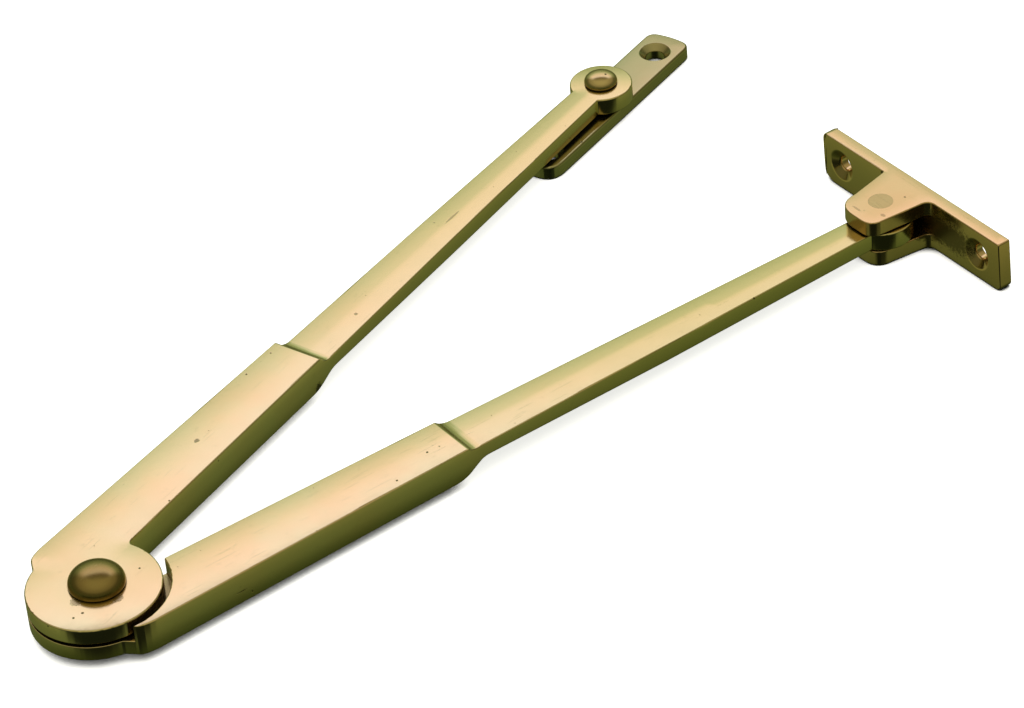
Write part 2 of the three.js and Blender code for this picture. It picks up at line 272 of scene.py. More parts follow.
def turned(profile, place=None):
    """A piece turned about Z from (radius, height) points, the first and last on the axis."""
    bm = bmesh.new()
    count = 360 // ARC_STEP
    rings = []
    for radius, height in profile:
        if radius == 0:
            rings.append([bm.verts.new((0, 0, height))] * count)
            continue
        angles = [2 * math.pi * i / count for i in range(count)]
        rings.append([
            bm.verts.new((radius * math.cos(a), radius * math.sin(a), height)) for a in angles])
    for ring, following in zip(rings, rings[1:]):
        for i in range(count):
            j = (i + 1) % count
            corners = [ring[i], ring[j], following[j], following[i]]
            bm.faces.new(list(dict.fromkeys(corners)))
    if place:
        bm.transform(place)
    return solid_from(bm)


def combine(solid, tool, operation):
    """Cuts the tool from a solid, or joins it on, and removes the tool."""
    boolean = solid.modifiers.new("boolean", "BOOLEAN")
    boolean.operation = operation
    boolean.solver = "EXACT"
    boolean.object = tool
    graph = bpy.context.evaluated_depsgraph_get()
    mesh = bpy.data.meshes.new_from_object(solid.evaluated_get(graph))
    solid.modifiers.clear()
    solid.data = mesh
    bpy.data.objects.remove(tool)


def cut(solid, *tools):
    for tool in tools:
        combine(solid, tool, "DIFFERENCE")


def join(solid, *tools):
    for tool in tools:
        combine(solid, tool, "UNION")


def ease_edges(solid, width, width_at, segments=3):
    """Rounds sharp edges. width is the widest, and width_at(middle) gives the one of an edge."""
    bm = bmesh.new()
    bm.from_mesh(solid.data)
    bmesh.ops.remove_doubles(bm, verts=bm.verts, dist=0.002)
    bmesh.ops.dissolve_limit(
        bm, angle_limit=math.radians(0.3), verts=bm.verts, edges=bm.edges, delimit=set())
    weight = bm.edges.layers.float.new("bevel_weight_edge")
    for edge in bm.edges:
        if len(edge.link_faces) != 2 or edge.calc_face_angle(0) < SHARP_ANGLE:
            continue
        middle = (edge.verts[0].co + edge.verts[1].co) / 2
        edge[weight] = width_at(middle) / width
    bm.to_mesh(solid.data)
    bm.free()
    bevel = solid.modifiers.new("bevel", "BEVEL")
    bevel.limit_method = "WEIGHT"
    bevel.width = width
    bevel.segments = segments
    bevel.use_clamp_overlap = False
    bevel.miter_outer = "MITER_ARC"
    graph = bpy.context.evaluated_depsgraph_get()
    mesh = bpy.data.meshes.new_from_object(solid.evaluated_get(graph))
    solid.modifiers.clear()
    solid.data = mesh


def slice_up(bm, axis):
    """Cuts a mesh into slices, so that the light can change along its flat faces."""
    direction = Vector((0, 0, 0))
    direction[axis] = 1
    low = min(v.co[axis] for v in bm.verts)
    high = max(v.co[axis] for v in bm.verts)
    count = math.floor((high - low) / SLICE)
    for i in range(1, count + 1):
        point = direction * (low + (high - low) * i / (count + 1))
        everything = bm.verts[:] + bm.edges[:] + bm.faces[:]
        bmesh.ops.bisect_plane(bm, geom=everything, dist=1e-3, plane_co=point, plane_no=direction)


def smooth_faces(solid):
    """Smooth shading that keeps flat faces flat and unrounded edges sharp."""
    solid.data.shade_smooth()
    solid.data.set_sharp_from_angle(angle=SHARP_SHADING)
    normals = solid.modifiers.new("normals", "WEIGHTED_NORMAL")
    normals.mode = "FACE_AREA"
    normals.weight = 60
    normals.keep_sharp = True
    graph = bpy.context.evaluated_depsgraph_get()
    mesh = bpy.data.meshes.new_from_object(solid.evaluated_get(graph))
    solid.modifiers.clear()
    solid.data = mesh


def polish(solid, outline, slope, reach):
    """Tilts the shading of the upper and lower faces outwards near the outline, as polishing on
    a soft wheel crowns them. slope is the tilt at the outline, and reach is how far in it goes."""
    bm = bmesh.new()
    bm.from_mesh(solid.data)
    slice_up(bm, 0)
    slice_up(bm, 1)
    bm.to_mesh(solid.data)
    bm.free()
    smooth_faces(solid)
    mesh = solid.data
    places = np.array([v.co[:] for v in mesh.vertices])
    away, distance = away_from_middle(outline, places[:, :2])
    tilt = slope * np.clip(1 - distance / reach, 0, 1)
    corners = np.array([loop.vertex_index for loop in mesh.loops])
    normals = np.array([corner.vector[:] for corner in mesh.corner_normals])
    upright = np.clip((np.abs(normals[:, 2]) - 0.5) * 2, 0, 1)
    normals[:, :2] += away[corners] * (tilt[corners] * upright)[:, None]
    normals /= np.linalg.norm(normals, axis=1)[:, None]
    mesh.normals_split_custom_set(normals.tolist())


def finished(solid, name, body, node, material, place=None):
    """Names a solid, places it in metres, and lets it stand for its CAD node."""
    if not solid.data.has_custom_normals:
        smooth_faces(solid)
    solid.name = name
    solid.data.name = name
    solid.data.transform(Matrix.Scale(MM, 4))
    solid.matrix_world = place or Matrix.Identity(4)
    solid.data.materials.clear()
    solid.data.materials.append(material)
    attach(solid, body)
    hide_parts(node)


def placed(point, degrees=0.0):
    return Matrix.Translation(point) @ Matrix.Rotation(math.radians(degrees), 4, "Z")


# ---------------------------------------------------------------- arms

def body_half_width(x):
    return between(x, (0, SHOULDER_X), BODY_HALF_WIDTHS)


def inner_corner():
    """The small hollow fillet where the elbow eye meets the inner side of the body."""
    span = EYE_RADIUS + EYE_FILLET
    x = span
    for _ in range(20):
        y = BODY_OFFSET - body_half_width(x) - EYE_FILLET
        x = math.sqrt(span ** 2 - y ** 2)
    return arc((x, y), EYE_FILLET, 180 + math.degrees(math.atan2(y, x)), 90)


def arm_outline(bar):
    """The whole arm from above, anticlockwise from the tip of the body beside the elbow eye."""
    eye_x, eye_y = bar["eye"]
    fillet = inner_corner()
    eye_end = 360 + math.degrees(math.atan2(fillet[0][1], fillet[0][0]))
    bar_x = SHOULDER_X + SHOULDER_RAMP
    inner_neck = math.degrees(math.asin(BAR_INNER[1] / END_EYE_RADIUS))
    outer_neck = math.degrees(math.asin(BAR_OUTER[1] / END_EYE_RADIUS))
    points = curve(STOP[2], STOP[1], STOP[0], count=5)
    points += arc((0, 0), EYE_RADIUS, STOP_FOOT_ANGLE, eye_end)[:-1]
    points += fillet
    points.append((SHOULDER_X, BODY_OFFSET - body_half_width(SHOULDER_X)))
    points.append((bar_x, BODY_OFFSET - BAR_INNER[0]))
    points += arc((eye_x, eye_y), END_EYE_RADIUS, inner_neck - 180, 180 - outer_neck)
    points.append((bar_x, BODY_OFFSET + BAR_OUTER[0]))
    points.append((SHOULDER_X, BODY_OFFSET + body_half_width(SHOULDER_X)))
    return points


def crisp_ramp(shoulder):
    """A shoulder with a crisp line, then a hollow that runs out on the bar."""
    end_x = SHOULDER_X + SHOULDER_RAMP
    control = (SHOULDER_X + SHOULDER_RAMP / 3, shoulder)
    return curve((SHOULDER_X, ARM_HALF_THICKNESS), control, (end_x, shoulder), count=10)


def soft_ramp(shoulder):
    """A shoulder that is a long easy S."""
    points = []
    for i in range(13):
        share = i / 12
        smooth = share * share * (3 - 2 * share)
        x = between(share, (0, 1), (SOFT_RAMP_START, SOFT_RAMP_END))
        points.append((x, between(smooth, (0, 1), (ARM_HALF_THICKNESS, shoulder))))
    return points


def relief(ramp, end, far_x, side):
    """The cutter that thins the bar on its upper side, 1, or its lower side, -1."""
    top = ARM_HALF_THICKNESS + OVERCUT
    outline = [(ramp[0][0], top)] + ramp + [(KNEE_X, end), (far_x, end), (far_x, top)]
    outline = [(x, z * side) for x, z in outline]
    upright = Matrix.Rotation(math.pi / 2, 4, "X")
    return prism(outline, -4 * BODY_OFFSET, 4 * BODY_OFFSET, upright)


def arm_edge(middle):
    """Edges inside the joint stay crisp. The tip at the stop is thin in the lower layer, so its
    edges are crisper towards its end."""
    if middle.xy.length < 9:
        return 0.0
    if abs(middle.z) < 0.7:
        return ARM_INNER_EDGE
    at_tip = -3.2 < middle.x < 1.6 and middle.y > EYE_RADIUS - 1 and middle.z < 0
    return between(middle.x, (-0.8, 1.6), (ARM_TIP_EDGE, ARM_EDGE)) if at_tip else ARM_EDGE


def arm_blank(bar, upper_ramp, lower_ramp, end_hole, end_recesses=()):
    """An arm along X with its elbow eye in the upper layer."""
    high = ARM_HALF_THICKNESS
    far_x = bar["eye"][0] + END_EYE_RADIUS + OVERCUT
    outline = arm_outline(bar)
    arm = prism(outline, -high, high)
    cut(arm, relief(upper_ramp(bar["upper"][0]), bar["upper"][1], far_x, 1))
    cut(arm, relief(lower_ramp(bar["lower"][0]), bar["lower"][1], far_x, -1))
    cut(arm, rod(HOLLOW_RADIUS, -high - OVERCUT, EYE_GAP / 2))
    cut(arm, rod(ELBOW_RECESS[0], -high, ELBOW_RECESS[1]))
    cut(arm, rod(ELBOW_SHANK + FIT, -high, high + OVERCUT))
    cut(arm, rod(end_hole, -high, high, bar["eye"]))
    for low, top in end_recesses:
        cut(arm, rod(PIN_RECESS_RADIUS, low, top, bar["eye"]))
    ease_edges(arm, ARM_EDGE, arm_edge)
    polish(arm, outline, slope=0.1, reach=6)
    return arm


def make_sash_arm(pivot, material):
    arm = arm_blank(SASH_BAR, crisp_ramp, soft_ramp, SASH_SHANK + FIT)
    finished(
        arm, "sash_arm_detail", "sash_arm", "sash_arm", material,
        placed(pivot, SASH_ARM_ANGLE))


def make_frame_arm(pivot, material):
    reach = ARM_HALF_THICKNESS
    upper = (-reach, -PIN_RECESS_HEIGHT - FRAME_ARM_DROP)
    lower = (PIN_RECESS_HEIGHT - FRAME_ARM_DROP, reach)
    arm = arm_blank(FRAME_BAR, soft_ramp, crisp_ramp, PIN_RADIUS + FIT, (upper, lower))
    arm.data.transform(Matrix.Rotation(math.pi, 4, "X"))
    arm.data.transform(Matrix.Translation((0, 0, -FRAME_ARM_DROP)))
    finished(
        arm, "frame_arm_detail", "frame_arm", "frame_arm", material,
        placed(pivot, FRAME_ARM_ANGLE))


# ---------------------------------------------------------------- rivets and pin

def dome(radius, seat, height, power):
    """The upper half of a rivet head, from its rim at the seat to the axis."""
    steps = 20
    points = []
    for i in range(steps + 1):
        angle = math.pi / 2 * i / steps
        across = 0 if i == steps else radius * math.cos(angle) ** power
        points.append((across, seat + height * math.sin(angle)))
    return points


def make_elbow_rivet(pivot, material):
    """The head was struck a little off centre."""
    seat = ARM_HALF_THICKNESS
    tail = -FRAME_ARM_DROP - ARM_HALF_THICKNESS
    low = tail - ELBOW_TAIL_HEIGHT
    shank = [
        (0, low - 0.1),
        (ELBOW_TAIL * 0.55, low - 0.05),
        (ELBOW_TAIL * 0.85, low + 0.15),
        (ELBOW_TAIL, low + 0.55),
        (ELBOW_TAIL, tail - 0.02),
        (ELBOW_SHANK, tail - 0.02),
        (ELBOW_SHANK, seat + OVERCUT),
        (0, seat + OVERCUT)]
    head = [(0, seat + FIT), (ELBOW_HEAD - 0.25, seat + FIT), (ELBOW_HEAD - 0.05, seat + 0.12)]
    head += dome(ELBOW_HEAD, seat + 0.35, ELBOW_HEAD_HEIGHT - 0.35, 0.85)
    rivet = turned(shank)
    join(rivet, turned(head, Matrix.Translation((ELBOW_HEAD_SHIFT, 0, 0))))
    finished(
        rivet, "elbow_rivet_detail", "frame_arm", "elbow_rivet", material,
        placed(pivot, FRAME_ARM_ANGLE))


def make_sash_rivet(pivot, material):
    seat = SASH_BAR["upper"][1]
    profile = [
        (0, PLATE_BOTTOM),
        (SASH_TAIL - 0.1, PLATE_BOTTOM),
        (SASH_TAIL, PLATE_BOTTOM + 0.06),
        (SASH_SHANK, PLATE_BOTTOM + SASH_TAIL_DEPTH),
        (SASH_SHANK, seat),
        (SASH_HEAD - 0.25, seat),
        (SASH_HEAD - 0.2, seat + 0.2),
        (SASH_HEAD - 0.05, seat + 0.28)]
    profile += dome(SASH_HEAD, seat + 0.45, SASH_HEAD_HEIGHT - 0.45, 0.9)
    finished(
        turned(profile), "sash_rivet_detail", "sash_plate", "sash_rivet", material,
        placed(pivot, SASH_ARM_ANGLE))


def make_bracket_pin(pivot, material):
    """Peened into the lugs and filed flush, so only a change of tone shows."""
    high = UPPER_LUG["high"]
    low = LOWER_LUG["low"]
    pin = turned([(0, low), (PIN_RADIUS, low), (PIN_RADIUS, high), (0, high)])
    finished(
        pin, "bracket_pin_detail", "frame_bracket", "bracket_pin", material,
        placed(pivot))


# ---------------------------------------------------------------- plate and bracket

def screw_hole(radius, bottom, face, x, turn=None):
    """The space of a countersunk hole that is sunk from the height face."""
    slope = (SINK_RADIUS - radius) / SINK_DEPTH
    profile = [
        (0, bottom - OVERCUT),
        (radius, bottom - OVERCUT),
        (radius, face - SINK_DEPTH),
        (SINK_RADIUS + slope * OVERCUT, face + OVERCUT),
        (0, face + OVERCUT)]
    place = Matrix.Translation((x, 0, 0))
    return turned(profile, place @ turn if turn else place)


def rounded_outline(corners):
    """A closed outline through (x, y, radius) corners, each rounded by about its radius."""
    points = []
    count = len(corners)
    for i, (x, y, radius) in enumerate(corners):
        corner = Vector((x, y))
        last = Vector(corners[i - 1][:2])
        following = Vector(corners[(i + 1) % count][:2])
        start = corner + (last - corner).normalized() * radius
        end = corner + (following - corner).normalized() * radius
        points += curve(start, corner, end)
    return points


def make_sash_plate(pivot, material):
    y = PLATE_WIDTH / 2
    outline = rounded_outline([
        (-PLATE_NEAR, -y, PLATE_CORNER_NEAR),
        (PLATE_FAR - PLATE_END_BOW, -y, PLATE_CORNER_FAR),
        (PLATE_FAR, 0, PLATE_BOW_RADIUS),
        (PLATE_FAR - PLATE_END_BOW, y, PLATE_CORNER_FAR),
        (-PLATE_NEAR, y, PLATE_CORNER_NEAR)])
    plate = prism(outline, PLATE_BOTTOM, PLATE_TOP)
    tail = [
        (0, PLATE_BOTTOM - OVERCUT),
        (SASH_TAIL + FIT, PLATE_BOTTOM - OVERCUT),
        (SASH_TAIL + FIT, PLATE_BOTTOM),
        (SASH_SHANK + FIT, PLATE_BOTTOM + SASH_TAIL_DEPTH),
        (SASH_SHANK + FIT, PLATE_TOP + OVERCUT),
        (0, PLATE_TOP + OVERCUT)]
    cut(plate, turned(tail), rod(PLATE_RECESS[0], PLATE_RECESS[1], PLATE_TOP + OVERCUT))
    for end in (-1, 1):
        x = end * PLATE_SCREW_SPACING / 2
        cut(plate, screw_hole(PLATE_HOLE, PLATE_BOTTOM, PLATE_TOP, x))

    near_corners = -PLATE_NEAR + PLATE_CORNER_NEAR
    far_corners = PLATE_FAR - PLATE_CORNER_FAR - 0.2

    def edge(middle):
        on_rim = abs(middle.y) > y - 0.1 or not near_corners < middle.x < far_corners
        if not on_rim:
            return PLATE_HOLE_EDGE
        upper = middle.z > (PLATE_TOP + PLATE_BOTTOM) / 2
        return PLATE_TOP_EDGE if upper else PLATE_LOW_EDGE

    ease_edges(plate, PLATE_TOP_EDGE, edge, segments=4)
    polish(plate, outline, slope=0.06, reach=4)
    finished(
        plate, "sash_plate_detail", "sash_plate", "sash_plate", material,
        placed(pivot, SASH_ARM_ANGLE))


def lug_outline(form):
    """The free outline of a lug from its left root round to its right root."""
    front = -BRACKET_THICKNESS
    tip = front - LUG_STANDOFF - form["reach"]
    left_root, left_tip = form["left"]
    right_root, right_tip = form["right"]
    left, right = form["corners"]
    points = [(-left_root, front)]
    points += curve((-left_tip, tip + left), (-left_tip, tip), (-left_tip + left, tip))
    points += curve((right_tip - right, tip), (right_tip, tip), (right_tip, tip + right))
    foot = (right_root + LUG_FILLET, front)
    points += curve((right_root, front - LUG_FILLET), (right_root, front), foot)
    return points


def lug(form):
    buried = [(form["right"][0] + LUG_FILLET, -1), (-form["left"][0], -1)]
    return prism(lug_outline(form) + buried, form["low"], form["high"])


def make_frame_bracket(material):
    forward = Matrix.Rotation(math.pi / 2, 4, "X")
    bracket = prism(rounded_outline(BRACKET_CORNERS), 0, BRACKET_THICKNESS, forward)
    join(bracket, lug(UPPER_LUG), lug(LOWER_LUG))
    reach = UPPER_LUG["high"] + OVERCUT
    pivot_y = -BRACKET_THICKNESS - LUG_STANDOFF
    cut(bracket, rod(PIN_RADIUS + FIT, -reach, reach, (0, pivot_y)))
    for end in (-1, 1):
        x = end * BRACKET_SCREW_SPACING / 2
        cut(bracket, screw_hole(BRACKET_HOLE, 0, BRACKET_THICKNESS, x, forward))

    def edge(middle):
        round_pin = (middle.xy - Vector((0, pivot_y))).length < PIN_RADIUS + 0.5
        if round_pin:
            return 0.0
        return BRACKET_LEFT_EDGE if middle.x < BRACKET_CORNERS[0][0] else BRACKET_EDGE

    ease_edges(bracket, BRACKET_LEFT_EDGE, edge)
    left = BRACKET_CORNERS[3][0]
    right = BRACKET_CORNERS[2][0]
    front = -BRACKET_THICKNESS
    outline = [(left, 0), (left, front)] + lug_outline(UPPER_LUG) + [(right, front), (right, 0)]
    polish(bracket, outline, slope=0.07, reach=2.4)
    finished(
        bracket, "frame_bracket_detail", "frame_bracket", "frame_bracket", material)


# ---------------------------------------------------------------- materials

class Nodes:
    """Short names for the nodes of one node tree. Sockets take a value or another node's output."""

    def __init__(self, tree):
        self.tree = tree

    def add(self, kind, inputs=(), output=0, **settings):
        node = self.tree.nodes.new(kind)
        for name, value in settings.items():
            setattr(node, name, value)
        for name, value in dict(inputs).items():
            if isinstance(value, bpy.types.NodeSocket):
                self.tree.links.new(value, node.inputs[name])
            else:
                node.inputs[name].default_value = value
        return node.outputs[output]

    def math(self, operation, first, second=0.0, third=0.5, clamp=False):
        inputs = {0: first, 1: second, 2: third}
        return self.add("ShaderNodeMath", inputs, operation=operation, use_clamp=clamp)

    def fade(self, value, start, end):
        """0 at start, 1 at end, and smooth between them."""
        inputs = {"Value": value, "From Min": start, "From Max": end}
        return self.add("ShaderNodeMapRange", inputs, interpolation_type="SMOOTHSTEP")

    def mix(self, share, first, second):
        inputs = {0: share, 6: first, 7: second}
        return self.add("ShaderNodeMix", inputs, output=2, data_type="RGBA")

    def stretch(self, place, scale, degrees=0.0, shift=(0, 0, 0)):
        inputs = {
            "Vector": place, "Scale": scale, "Location": shift,
            "Rotation": (0, 0, math.radians(degrees))}
        return self.add("ShaderNodeMapping", inputs)

    def noise(self, place, scale=1.0, detail=3.0, roughness=0.55):
        inputs = {"Vector": place, "Scale": scale, "Detail": detail, "Roughness": roughness}
        return self.add("ShaderNodeTexNoise", inputs)

    def ramp(self, value, stops):
        """A smooth run of colours. Stops are (position, colour)."""
        node = self.tree.nodes.new("ShaderNodeValToRGB")
        node.color_ramp.interpolation = "EASE"
        elements = node.color_ramp.elements
        while len(elements) < len(stops):
            elements.new(0.5)
        for element, (position, color) in zip(elements, stops):
            element.position = position
            element.color = (*color, 1)
        self.tree.links.new(value, node.inputs["Fac"])
        return node.outputs["Color"]


def new_material(name):
    material = bpy.data.materials.new(name)
    material.use_nodes = True
    return material, Nodes(material.node_tree), material.node_tree.nodes["Principled BSDF"]


def hairlines(nodes, place, degrees, shift):
    """Sparse fine scratches in one direction, on any face."""
    turned_place = nodes.stretch(place, (0.09, 6.5, 6.5), degrees, shift)
    return nodes.fade(nodes.noise(turned_place, 1.0, 1.0), 0.74, 0.79)


def pits(nodes, place, scale, share):
    """Small pits of the casting. Only some cells have one."""
    inputs = {"Vector": place, "Scale": scale}
    distance = nodes.add("ShaderNodeTexVoronoi", inputs, output="Distance")
    chance = nodes.add("ShaderNodeTexVoronoi", inputs, output="Color")
    present = nodes.math("LESS_THAN", chance, share)
    core = nodes.fade(distance, 0.12, 0.04)
    return nodes.math("MULTIPLY", core, present)


def dark_spot(nodes, place, centre, radii):
    """A ragged dark spot at a point of the piece, in mm. Most are stains; some are painted shade.
    """
    offset = nodes.add("ShaderNodeVectorMath", {0: place, 1: centre}, operation="SUBTRACT")
    spread = tuple(1 / r for r in radii)
    offset = nodes.add("ShaderNodeVectorMath", {0: offset, 1: spread}, operation="MULTIPLY")
    reach = nodes.add("ShaderNodeVectorMath", {0: offset}, output="Value", operation="LENGTH")
    ragged = nodes.math("ADD", reach, nodes.noise(place, 1.6, 4, 0.7))
    return nodes.fade(ragged, 1.35, 1.0)


def brass_tone(nodes, place, color, end_color):
    """Slow changes of tone. end_color is the duller tone towards the far end of an arm."""
    tone = nodes.fade(nodes.noise(place, 0.06, 3), 0.35, 0.68)
    warm = tuple(min(1, c * k) for c, k in zip(color, (1.04, 0.95, 0.93)))
    base = nodes.mix(tone, (*color, 1), (*warm, 1))
    if end_color:
        along = nodes.add("ShaderNodeSeparateXYZ", {"Vector": place}, output="X")
        base = nodes.mix(nodes.fade(along, 50, 130), base, (*end_color, 1))
    return base


def flaw_and_shade_mask(nodes, place, marks_and_shade):
    """Pits everywhere, and the marks at their places, stains and spots of painted shade among them.
    """
    flaws_and_shade_spots = nodes.math("MAXIMUM", pits(nodes, place, 0.42, 0.22), pits(nodes, place, 1.1, 0.12))
    for centre, radii, depth in marks_and_shade:
        spot = nodes.math("MULTIPLY", dark_spot(nodes, place, centre, radii), depth)
        flaws_and_shade_spots = nodes.math("MAXIMUM", flaws_and_shade_spots, spot)
    return flaws_and_shade_spots


def painted_crevice_shade(nodes, cloud, grime_and_shade):
    """A mask of painted shade for the inner corners, found by ambient occlusion, with ragged
    borders.
    """
    corner = nodes.add(
        "ShaderNodeAmbientOcclusion", {"Distance": 0.0022}, output="AO", samples=8)
    ragged_corner = nodes.math("ADD", corner, nodes.math("MULTIPLY", cloud, 0.12))
    return nodes.math("MULTIPLY", nodes.fade(ragged_corner, 0.66, 0.30), min(1, 0.95 * grime_and_shade))


def polished_roughness(nodes, place, roughness, scratches, dirt_and_shade):
    haze = nodes.noise(place, 0.16, 4)
    rough = nodes.math("MULTIPLY_ADD", haze, 0.12, roughness - 0.06)
    rough = nodes.math("ADD", rough, nodes.math("MULTIPLY", scratches, 0.06))
    return nodes.math("ADD", rough, nodes.math("MULTIPLY", dirt_and_shade, 0.3), clamp=True)


def relief_normal(nodes, place, scratches, flaws_and_shade_spots, barrel):
    """Faint unevenness, scratches, and dents at the flaws and at the spots of painted shade. barrel
    rounds the upright faces by polishing.
    """
    height = nodes.math("MULTIPLY", nodes.noise(place, 0.7, 3), 0.5)
    height = nodes.math("SUBTRACT", height, nodes.math("MULTIPLY", scratches, 0.3))
    height = nodes.math("SUBTRACT", height, nodes.math("MULTIPLY", flaws_and_shade_spots, 3.0))
    rise = nodes.add("ShaderNodeSeparateXYZ", {"Vector": place}, output="Z")
    rounding = nodes.math("MULTIPLY", nodes.math("MULTIPLY", rise, rise), barrel)
    height = nodes.math("SUBTRACT", height, rounding)
    inputs = {"Height": height, "Strength": 1.0, "Distance": 0.000012}
    return nodes.add("ShaderNodeBump", inputs)


def metal(name, color, stain_and_shade, roughness, grime_and_shade=1.0, barrel=0.0, marks_and_shade=(), end_color=None):
    """Polished brass with hairline scratches, pits, tarnish clouds, and painted shade in the
    crevices in a near-black tone of the stain.
    The marks are (centre, radii, depth) of stained flaws and of spots of painted shade, in mm."""
    material, nodes, shader = new_material(name)
    place = nodes.add("ShaderNodeTexCoord", output="Object")
    place = nodes.stretch(place, (1000, 1000, 1000))
    cloud = nodes.fade(nodes.noise(place, 0.45, 6, 0.7), 0.58, 0.80)
    scratches = nodes.math(
        "MAXIMUM", hairlines(nodes, place, 24, (3, 1, 0)), hairlines(nodes, place, -41, (7, 5, 2)))
    flaws_and_shade_spots = flaw_and_shade_mask(nodes, place, marks_and_shade)
    # painted shade in the inner corners
    crevice_shade = painted_crevice_shade(nodes, cloud, grime_and_shade)
    dirt_and_shade = nodes.math("MAXIMUM", crevice_shade, nodes.math("MULTIPLY", flaws_and_shade_spots, 0.85))

    base = brass_tone(nodes, place, color, end_color)
    base = nodes.mix(nodes.math("MULTIPLY", cloud, 0.22 * grime_and_shade), base, (*stain_and_shade, 1))
    # painted shade: the crevices and the spots of painted shade turn near-black, as do the real
    # pits and stained marks
    base = nodes.mix(dirt_and_shade, base, (*(0.12 * c for c in stain_and_shade), 1))
    rough = polished_roughness(nodes, place, roughness, scratches, dirt_and_shade)
    normal = relief_normal(nodes, place, scratches, flaws_and_shade_spots, barrel)
    nodes.tree.links.new(base, shader.inputs["Base Color"])
    nodes.tree.links.new(rough, shader.inputs["Roughness"])
    nodes.tree.links.new(normal, shader.inputs["Normal"])
    shader.inputs["Metallic"].default_value = 1
    return material


# ---------------------------------------------------------------- stage and light

def make_floor(height):
    """A pale floor that glows a little, so that shadows stay faint. Where the pieces hide it,
    inside the holes and in a thin line along their feet, it is painted near-black and its glow
    fades: painted shade.
    """
    bm = bmesh.new()
    bmesh.ops.create_grid(bm, x_segments=2, y_segments=2, size=4)
    mesh = bpy.data.meshes.new("floor")
    bm.to_mesh(mesh)
    bm.free()
    floor = bpy.data.objects.new("floor", mesh)
    floor.location = (0, 0, height - 0.0001)
    floor.visible_glossy = False
    material, nodes, shader = new_material("floor")
    openness = nodes.add(
        "ShaderNodeAmbientOcclusion", {"Distance": 0.003}, output="AO", samples=8)
    open_floor = nodes.fade(openness, 0.40, 0.60)
    # painted shade on the hidden floor
    color = nodes.mix(open_floor, (0.03, 0.035, 0.02, 1), (0.86, 0.86, 0.85, 1))
    nodes.tree.links.new(color, shader.inputs["Base Color"])
    glow = nodes.math("MULTIPLY", open_floor, 0.75)
    nodes.tree.links.new(glow, shader.inputs["Emission Strength"])
    shader.inputs["Roughness"].default_value = 0.9
    shader.inputs["Specular IOR Level"].default_value = 0
    shader.inputs["Emission Color"].default_value = (1, 1, 1, 1)
    mesh.materials.append(material)
    bpy.context.scene.collection.objects.link(floor)


def make_world():
    """A studio in dim olive surroundings, dark below and behind the camera, with one long soft
    light beyond the object. The brass mirrors them."""
    world = bpy.data.worlds.new("studio")
    world.use_nodes = True
    bpy.context.scene.world = world
    nodes = Nodes(world.node_tree)
    background = world.node_tree.nodes["Background"]
    direction = nodes.add("ShaderNodeTexCoord", output="Generated")
    azimuth = math.radians(CAMERA_AZIMUTH)

    def share_along(axis):
        inputs = {0: direction, 1: axis}
        return nodes.add("ShaderNodeVectorMath", inputs, "Value", operation="DOT_PRODUCT")

    depth = share_along((-math.sin(azimuth), math.cos(azimuth), 0))
    side = share_along((math.cos(azimuth), math.sin(azimuth), 0))
    level = nodes.math("MULTIPLY_ADD", share_along((0, 0, 1)), 0.5, 0.5)
    bearing = nodes.math("ARCTAN2", side, depth)

    room = nodes.ramp(level, [
        (0.00, (0.009, 0.011, 0.004)),
        (0.10, (0.025, 0.036, 0.009)),
        (0.20, (0.082, 0.104, 0.036)),
        (0.32, (0.160, 0.185, 0.068)),
        (0.50, (0.057, 0.071, 0.029)),
        (0.70, (0.085, 0.086, 0.042)),
        (0.85, (0.220, 0.205, 0.120)),
        (1.00, (0.320, 0.300, 0.180))])
    panel = nodes.ramp(level, [
        (0.50, (0.07, 0.10, 0.04)),
        (0.70, (0.24, 0.31, 0.17)),
        (0.745, (0.44, 0.51, 0.43)),
        (0.78, (0.60, 0.59, 0.54)),
        (0.805, (0.73, 0.66, 0.67)),
        (0.845, (0.80, 0.71, 0.83)),
        (0.875, (0.80, 0.81, 0.97)),
        (0.905, (0.12, 0.08, 0.04)),
        (0.935, (0.14, 0.13, 0.07)),
        (1.00, (0.32, 0.30, 0.18))])
    left_end = nodes.fade(bearing, -0.85, -0.40)
    right_end = nodes.fade(bearing, 0.95, 0.50)
    above = nodes.fade(level, 0.47, 0.58)
    share = nodes.math("MULTIPLY", nodes.math("MULTIPLY", left_end, right_end), above)
    behind = nodes.math(
        "MULTIPLY", nodes.fade(depth, -0.45, -0.70), nodes.fade(level, 0.56, 0.46))
    room = nodes.mix(behind, room, (0.006, 0.008, 0.004, 1))
    color = nodes.mix(share, room, panel)
    nodes.tree.links.new(color, background.inputs["Color"])
    background.inputs["Strength"].default_value = 1.4


def make_overhead():
    """Lights the floor softly from above. The brass doesn't mirror it."""
    data = bpy.data.lights.new("overhead", "AREA")
    data.energy = 16
    data.size = 2
    light = bpy.data.objects.new("overhead", data)
    light.location = (0, 0, 1.2)
    light.visible_glossy = False
    bpy.context.scene.collection.objects.link(light)


# ---------------------------------------------------------------- the whole stay

def pivot_of(joint_name):
    joint = next(j for j in frame["joints"] if j["name"] == joint_name)
    return Vector(joint["pos_m"])


bracket_pivot = pivot_of("bracket_hinge")
elbow_pivot = pivot_of("elbow_hinge")
sash_pivot = pivot_of("sash_hinge")

BRASS = (0.905, 0.76, 0.42)
BRACKET_BRASS = (0.82, 0.62, 0.31)
# A tarnish colour; a near-black tone of it is also the painted shade in crevices and spots.
BRASS_STAIN_AND_SHADE = (0.42, 0.36, 0.14)
SASH_END = (0.87, 0.71, 0.35)
FRAME_END = (0.78, 0.665, 0.295)

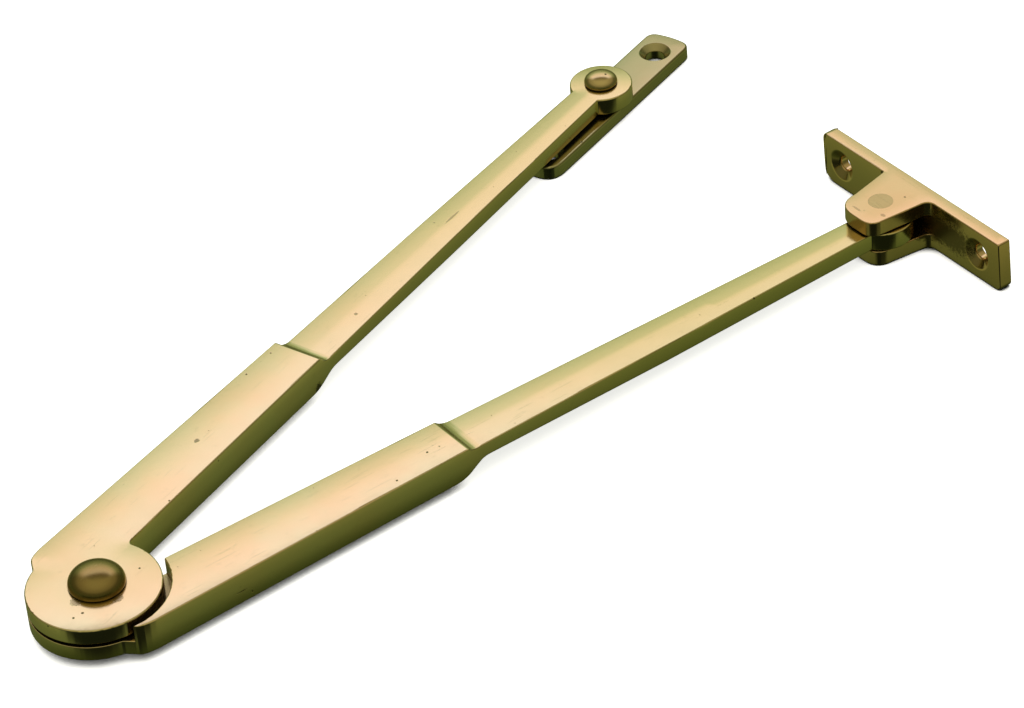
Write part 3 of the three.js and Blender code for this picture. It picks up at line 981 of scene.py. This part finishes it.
# Marks of this one stay, and spots of painted shade, as (centre, radii, depth) in the frame of each
# piece.
sash_arm_marks_and_shade = [
    ((69.0, 2.9, -2.6), (1.4, 1.5, 1.6), 1.0), # at the side of the shoulder
    ((40.4, 8.4, 3.2), (0.8, 0.6, 0.6), 0.6), # a spot on the body
    ((86.4, 6.5, 1.5), (0.45, 0.45, 0.6), 0.5), # a spot on the bar
    ((119.8, 7.9, 1.8), (3.0, 0.35, 0.6), 0.4), # a streak along the bar
    ((-4.9, -0.1, 3.2), (1.5, 1.5, 0.6), 0.45), # two dark spots beside the rivet: painted shadow and reflection of its head
    ((-0.7, -5.7, 3.2), (1.5, 1.3, 0.6), 0.45),
    ((-6.7, -2.9, 3.2), (0.35, 0.35, 0.6), 0.9)] # a pit in the eye
frame_arm_marks = [
    ((36.8, -14.7, -0.4), (0.35, 1, 0.35), 1.0), # three pits and a scratch on the outer side
    ((41.6, -14.7, -1.1), (0.3, 1, 0.3), 1.0),
    ((46.2, -14.7, -0.7), (0.3, 1, 0.3), 1.0),
    ((20.8, -14.7, -0.9), (2.4, 1, 0.2), 0.8)]
bracket_marks_and_shade = [
    ((10.5, -4.0, 0.0), (13.0, 3.8, 4.8), 0.8), # painted shade and reflection of the lugs, in the corner to their right
    ((-7.0, -2.9, 4.6), (0.9, 0.6, 0.8), 1.0), # the inner corner to their left
    ((3.7, -12.2, 5.2), (0.8, 0.5, 0.6), 0.35), # three specks on the upper lug
    ((2.1, -5.4, 5.2), (0.4, 0.3, 0.6), 0.5),
    ((-1.2, -14.4, 5.2), (1.6, 0.35, 0.6), 0.3)]
sash_rivet_marks = [((0.4, -1.0, 4.0), (0.3, 0.3, 0.6), 1.0)]

sash_arm_brass = metal(
    "sash_arm_brass", BRASS, BRASS_STAIN_AND_SHADE, 0.17, barrel=1.8, marks_and_shade=sash_arm_marks_and_shade,
    end_color=SASH_END)
frame_arm_brass = metal(
    "frame_arm_brass", BRASS, BRASS_STAIN_AND_SHADE, 0.17, barrel=1.6, marks_and_shade=frame_arm_marks,
    end_color=FRAME_END)
bracket_brass = metal(
    "bracket_brass", BRACKET_BRASS, BRASS_STAIN_AND_SHADE, 0.17, barrel=0.6, marks_and_shade=bracket_marks_and_shade)
plate_brass = metal("plate_brass", (0.58, 0.53, 0.28), BRASS_STAIN_AND_SHADE, 0.20, barrel=0.4)
rivet_brass = metal("rivet_brass", (0.42, 0.31, 0.11), (0.16, 0.14, 0.05), 0.22, grime_and_shade=1.1)
sash_rivet_brass = metal(
    "sash_rivet_brass", (0.74, 0.58, 0.27), (0.24, 0.20, 0.07), 0.20, marks_and_shade=sash_rivet_marks)
pin_brass = metal("pin_brass", (0.62, 0.49, 0.22), (0.34, 0.28, 0.11), 0.24, barrel=0.6)
bronze = metal("washer_bronze", (0.60, 0.40, 0.20), (0.22, 0.15, 0.07), 0.35)

make_frame_bracket(bracket_brass)
make_bracket_pin(bracket_pivot, pin_brass)
make_frame_arm(elbow_pivot, frame_arm_brass)
make_sash_arm(elbow_pivot, sash_arm_brass)
make_elbow_rivet(elbow_pivot, rivet_brass)
make_sash_plate(sash_pivot, plate_brass)
make_sash_rivet(sash_pivot, sash_rivet_brass)
for node in ("bracket_washer_upper", "bracket_washer_lower", "elbow_washer", "sash_washer"):
    frame["nodes"][node].data.materials.clear()
    frame["nodes"][node].data.materials.append(bronze)

make_floor(cad_low.z)
make_world()
make_overhead()
bpy.context.scene.view_settings.view_transform = "Standard"
